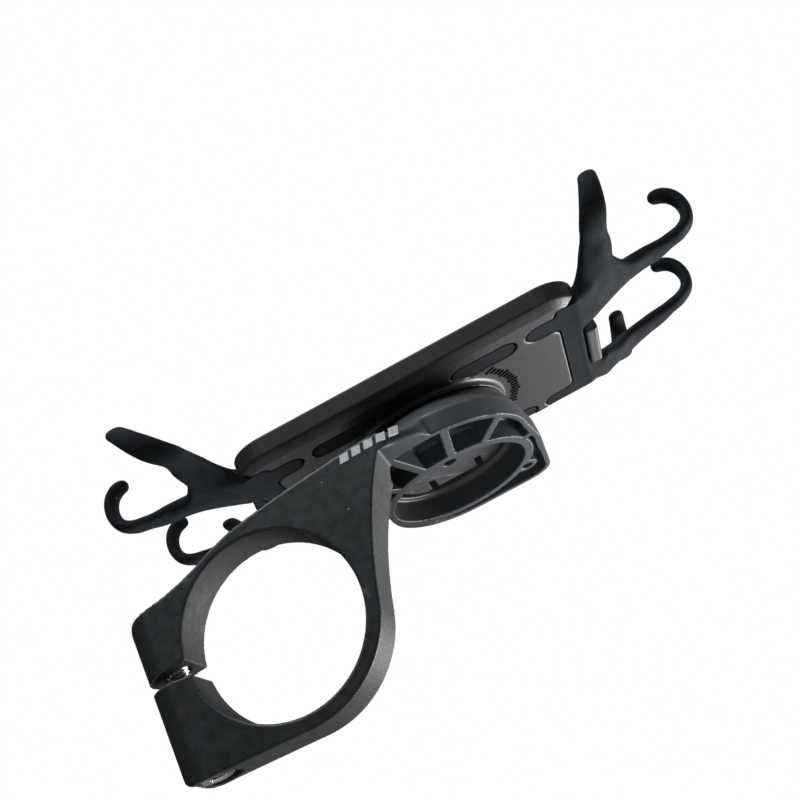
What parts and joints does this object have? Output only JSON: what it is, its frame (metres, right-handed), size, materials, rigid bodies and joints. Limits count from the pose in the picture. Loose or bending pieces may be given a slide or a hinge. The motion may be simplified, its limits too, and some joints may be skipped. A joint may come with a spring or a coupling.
{
  "type": "bicycle phone mount",
  "caption": "Out-front handlebar clamp with a quarter-turn head that carries a phone plate with forked silicone corner straps.",
  "frame": {"origin": "centre of the handlebar bore, halfway across the clamp's width", "axes": "+Y along the handlebar, away from the clamp's near face towards the head; +Z square to the phone plate and upward; +X forward, out in front of the handlebar"},
  "size_m": [0.1434, 0.0792, 0.0737],
  "materials": {
    "black_nylon": "satin moulded",
    "carrier_plastic": "fine matte",
    "puck_plastic": "satin moulded",
    "silicone": "soft matte",
    "cushion_rubber": "matte",
    "bright_steel": "bright plated",
    "dark_zinc": "zinc plated"
  },
  "bodies": {
    "bracket": {"clamp_bracket": "black_nylon", "clamp_washer": "bright_steel", "clamp_nut": "dark_zinc"},
    "bolt": {"clamp_bolt": "bright_steel"},
    "carrier": {"lock_puck": "puck_plastic", "back_shell": "carrier_plastic", "front_panel": "carrier_plastic", "front_cushion": "cushion_rubber", "silicone_core": "silicone", "panel_screw_1": "dark_zinc", "panel_screw_2": "dark_zinc", "panel_screw_3": "dark_zinc", "panel_screw_4": "dark_zinc", "puck_screw_1": "dark_zinc", "puck_screw_2": "dark_zinc", "puck_screw_3": "dark_zinc", "puck_screw_4": "dark_zinc"},
    "front_near": {"strap_front_near": "silicone"},
    "front_far": {"strap_front_far": "silicone"},
    "rear_near": {"strap_rear_near": "silicone"},
    "rear_far": {"strap_rear_far": "silicone"}
  },
  "joints": [
    {"name": "carrier_twist", "type": "hinge", "parent": "bracket", "child": "carrier", "pos_m": [0.0408, 0.03415, 0.0337], "axis": [0, 0, 1], "range_deg": [0, 90]},
    {"name": "bolt_turn", "type": "hinge", "parent": "bracket", "child": "bolt", "pos_m": [-0.0211, 0, -0.019], "axis": [0, 0, 1], "continuous": true},
    {"name": "front_near_flex", "type": "hinge", "parent": "carrier", "child": "front_near", "pos_m": [0.0806, 0.01705, 0.0356], "axis": [0, 1, 0], "range_deg": [0, 35], "stiffness_Nm_per_rad": 0.05},
    {"name": "front_far_flex", "type": "hinge", "parent": "carrier", "child": "front_far", "pos_m": [0.0806, 0.05575, 0.0356], "axis": [0, 1, 0], "range_deg": [0, 35], "stiffness_Nm_per_rad": 0.05},
    {"name": "rear_near_flex", "type": "hinge", "parent": "carrier", "child": "rear_near", "pos_m": [0.001, 0.01705, 0.0356], "axis": [0, -1, 0], "range_deg": [0, 35], "stiffness_Nm_per_rad": 0.05},
    {"name": "rear_far_flex", "type": "hinge", "parent": "carrier", "child": "rear_far", "pos_m": [0.001, 0.05575, 0.0356], "axis": [0, -1, 0], "range_deg": [0, 35], "stiffness_Nm_per_rad": 0.05}
  ]
}
